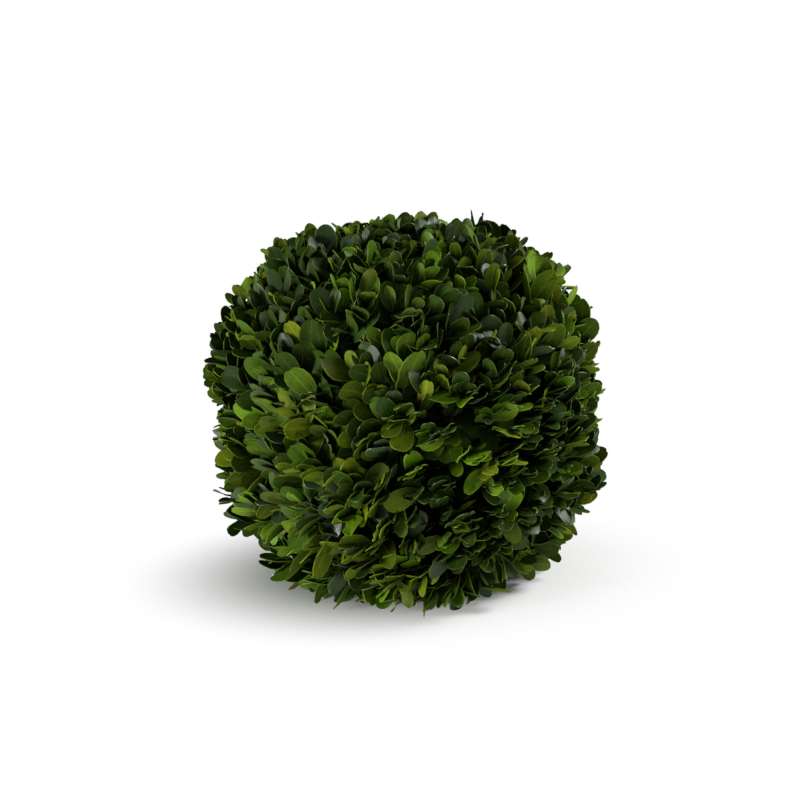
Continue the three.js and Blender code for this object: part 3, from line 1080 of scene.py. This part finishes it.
def leaf_mesh(name, leaves):
    """All the leaves of one bunch in one mesh."""
    middles = leaves["place"] + leaves["along"] * leaves["length"][:, None] / 2
    shallow = sprig_reach[leaves["sprig"]] - np.linalg.norm(middles - CENTRE, axis=1) < DEEP
    parts = []
    first = 0
    for chosen, (rows, columns, depths) in ((shallow, CLOSED_LEAF), (~shallow, PLAIN_LEAF)):
        some = {key: part[chosen] for key, part in leaves.items()}
        total = len(some["length"])
        habit = leaf_habit(total)
        made = np.concatenate([leaf_points(some, habit, rows, columns, depth) for depth in depths], 1)
        template, place, sides = leaf_template(rows, columns, len(depths) > 1)
        starts = first + np.arange(total) * made.shape[1]
        quads = (template + starts[:, None, None]).reshape(-1, 4)
        finish = (some["green"][:, None] * 2 + sides).ravel()
        places = np.tile(place[template], (total, 1, 1))
        tiles = tiled(places, finish, TILE_COLUMNS, TILE_ROWS)
        parts.append((made.reshape(-1, 3), quads, finish, places, tiles))
        first += total * made.shape[1]
    points, quads, numbers, places, tiles = (np.concatenate(part) for part in zip(*parts))
    maps = {LEAF_MAP: places, BAKE_MAP: tiles}
    mesh = quad_mesh(name, pressed(points), quads, leaf_finishes, numbers, maps)
    sharpen(mesh, shallow.sum())
    return mesh


print(f"leaves deeper than {DEEP / MM:.0f} mm are plain sheets")

# %% [markdown]
# ## Growing the bunches
#
# Each bunch becomes two pieces: its twigs with their buds, which take the place of the
# bound stems, and its leaves, which take the place of the closed outline.

# %% Bound stems
LIMB_STEPS = 5
STEM_RADIUS = 0.95 * MM
STEM_TAPER = np.linspace(1.15, 0.85, LIMB_STEPS)
STEM_ROOT = CORE_RADIUS * 0.97
BOUND_STEMS = 9
BOUND_RADIUS = 3.4 * MM
BOUND_PINCH = 0.45  # how far the bundle narrows to its first fork
GOLDEN_TURN = 2 * math.pi * 0.382


def add_bound_stems(tubes, way):
    """The stems of one bunch side by side, from inside the foam to their first fork."""
    across = unit(np.cross(way, np.roll(way, 1) + 0.1))
    side = np.cross(way, across)
    for number in range(BOUND_STEMS):
        angle = GOLDEN_TURN * number
        spread = BOUND_RADIUS * math.sqrt((number + 0.3) / BOUND_STEMS)
        offset = (across * math.cos(angle) + side * math.sin(angle)) * spread
        start = CENTRE + way * STEM_ROOT + offset
        end = CENTRE + way * (STEM_END + rng.uniform(-1, 2) * MM) + offset * BOUND_PINCH
        path = curve(start, way, end, way, LIMB_STEPS)
        tubes.add(path, STEM_TAPER * STEM_RADIUS, OLD_BARK, CUT_WOOD)


print(f"{BOUND_STEMS} stems in a bundle of {2 * BOUND_RADIUS / MM:.1f} mm")

# %% Buds and bare ends
SHOOT_STEPS = 14
BUD_LENGTH = 1.7 * MM
BUD_RADII = np.array([0.45, 0.72, 0.62, 0.30, 0.06]) * MM
BARE_ENDS = 0.22  # share of sprigs with a bare side shoot, and of those the long ones
LONG_ENDS = 0.10
LONG_END = (16 * MM, 22 * MM)
LONG_RADII = np.linspace(0.5, 0.36, LIMB_STEPS) * MM
SNIPPED_END = (5 * MM, 11 * MM)
SNIPPED_RADII = np.array([0.6, 0.55, 0.5]) * MM
BARE_FROM = (SHOOT_STEPS - 5, SHOOT_STEPS - 2)  # where on its shoot a bare end starts
BARE_SPREAD = 0.35  # how far bare ends turn off their shoot, and how far the long ones bend
BARE_BEND = 0.2


def add_bud(tubes, end, way):
    path = end + way * np.linspace(0, BUD_LENGTH, len(BUD_RADII))[:, None]
    tubes.add(path, BUD_RADII, YOUNG_BARK)


def add_bare_end(tubes, path):
    """A side shoot that lost its leaves: most are snipped off short and show pale wood."""
    from_step = rng.integers(*BARE_FROM)
    onward = unit(path[from_step + 1] - path[from_step])
    way = unit(onward + rng.normal(0, BARE_SPREAD, 3))
    if rng.random() < LONG_ENDS:
        bent = path[from_step] + way * rng.uniform(*LONG_END)
        arriving = unit(way + rng.normal(0, BARE_BEND, 3))
        stalk = curve(path[from_step], way, bent, arriving, LIMB_STEPS)
        tubes.add(stalk, LONG_RADII, OLD_BARK)
        add_bud(tubes, bent, unit(stalk[-1] - stalk[-2]))
    else:
        steps = np.linspace(0, rng.uniform(*SNIPPED_END), len(SNIPPED_RADII))[:, None]
        tubes.add(path[from_step] + way * steps, SNIPPED_RADII, OLD_BARK, CUT_WOOD)


print(f"{BARE_ENDS:.0%} of the sprigs carry a bare end")

# %% Grow
LIMB_RADIUS = 0.62 * MM  # for one sprig, and it grows with the square root of their number
LIMB_TAPER = 0.85
SHOOT_RADII = (0.85 * MM, 0.42 * MM)


def grow(number, name):
    """The twigs and leaves of one bunch."""
    tubes = Tubes()
    add_bound_stems(tubes, stem_ways[number])
    for start, heading, end, fed in limbs_of[number]:
        path = curve(start, heading, end, unit(end - start), LIMB_STEPS)
        radius = LIMB_RADIUS * math.sqrt(fed)
        tubes.add(path, np.linspace(radius, radius * LIMB_TAPER, LIMB_STEPS), OLD_BARK)
    leaves = []
    for sprig in np.flatnonzero(sprig_bunch == number):
        start, heading = feed_of[sprig]
        path = curve(start, heading, tips[sprig], growth[sprig], SHOOT_STEPS)
        tubes.add(path, np.linspace(*SHOOT_RADII, SHOOT_STEPS), YOUNG_BARK)
        add_bud(tubes, tips[sprig], growth[sprig])
        if rng.random() < BARE_ENDS:
            add_bare_end(tubes, path)
        leaves.append(shoot_leaves(sprig, path))
    twigs = tubes.mesh(f"twigs_{name}")
    joined = {key: np.concatenate([leaf[key] for leaf in leaves]) for key in leaves[0]}
    add_piece(twigs, "cut_stems", f"stems_{name}")
    add_piece(leaf_mesh(f"leaves_{name}", joined), "box_leaves", f"bunch_{name}")
    return len(joined["length"])


leaf_count = sum(grow(number, name) for number, name in enumerate(bunch_names))
print(f"{leaf_count} leaves")

# %% [markdown]
# ## Foam core
#
# The core hardly shows, but through the widest gaps a dark, crumbly ball can be made out.
# A sphere of even triangles takes small random dents better than one of rings.

# %% Core
CORE_DENT = 0.7 * MM
core_mesh = bpy.data.meshes.new("core_ball")
shape = bmesh.new()
bmesh.ops.create_icosphere(shape, subdivisions=5, radius=CORE_RADIUS)
for vertex in shape.verts:
    vertex.co += vertex.co.normalized() * rng.normal(0, CORE_DENT / 2)
    vertex.co += Vector(CENTRE)
shape.to_mesh(core_mesh)
shape.free()
core_mesh.materials.append(foam_finish())
core_mesh.polygons.foreach_set("use_smooth", [True] * len(core_mesh.polygons))
add_piece(core_mesh, "foam", "foam_core")
print(f"the core has {len(core_mesh.polygons)} faces")

# %% [markdown]
# ## Sizes
#
# The finished leaves have to stay with the imported outline, so both boxes are written down.

# %% The imported and the finished box
visual_box = [list(corner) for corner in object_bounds()]
faces = sum(len(piece.data.polygons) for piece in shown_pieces() if piece.type == "MESH")
print(f"{faces} faces, most of them quads")
for name, box in (("packed", cad_box), ("finished", visual_box)):
    print(name, [round((high - low) / MM, 1) for low, high in zip(*box)], "mm")
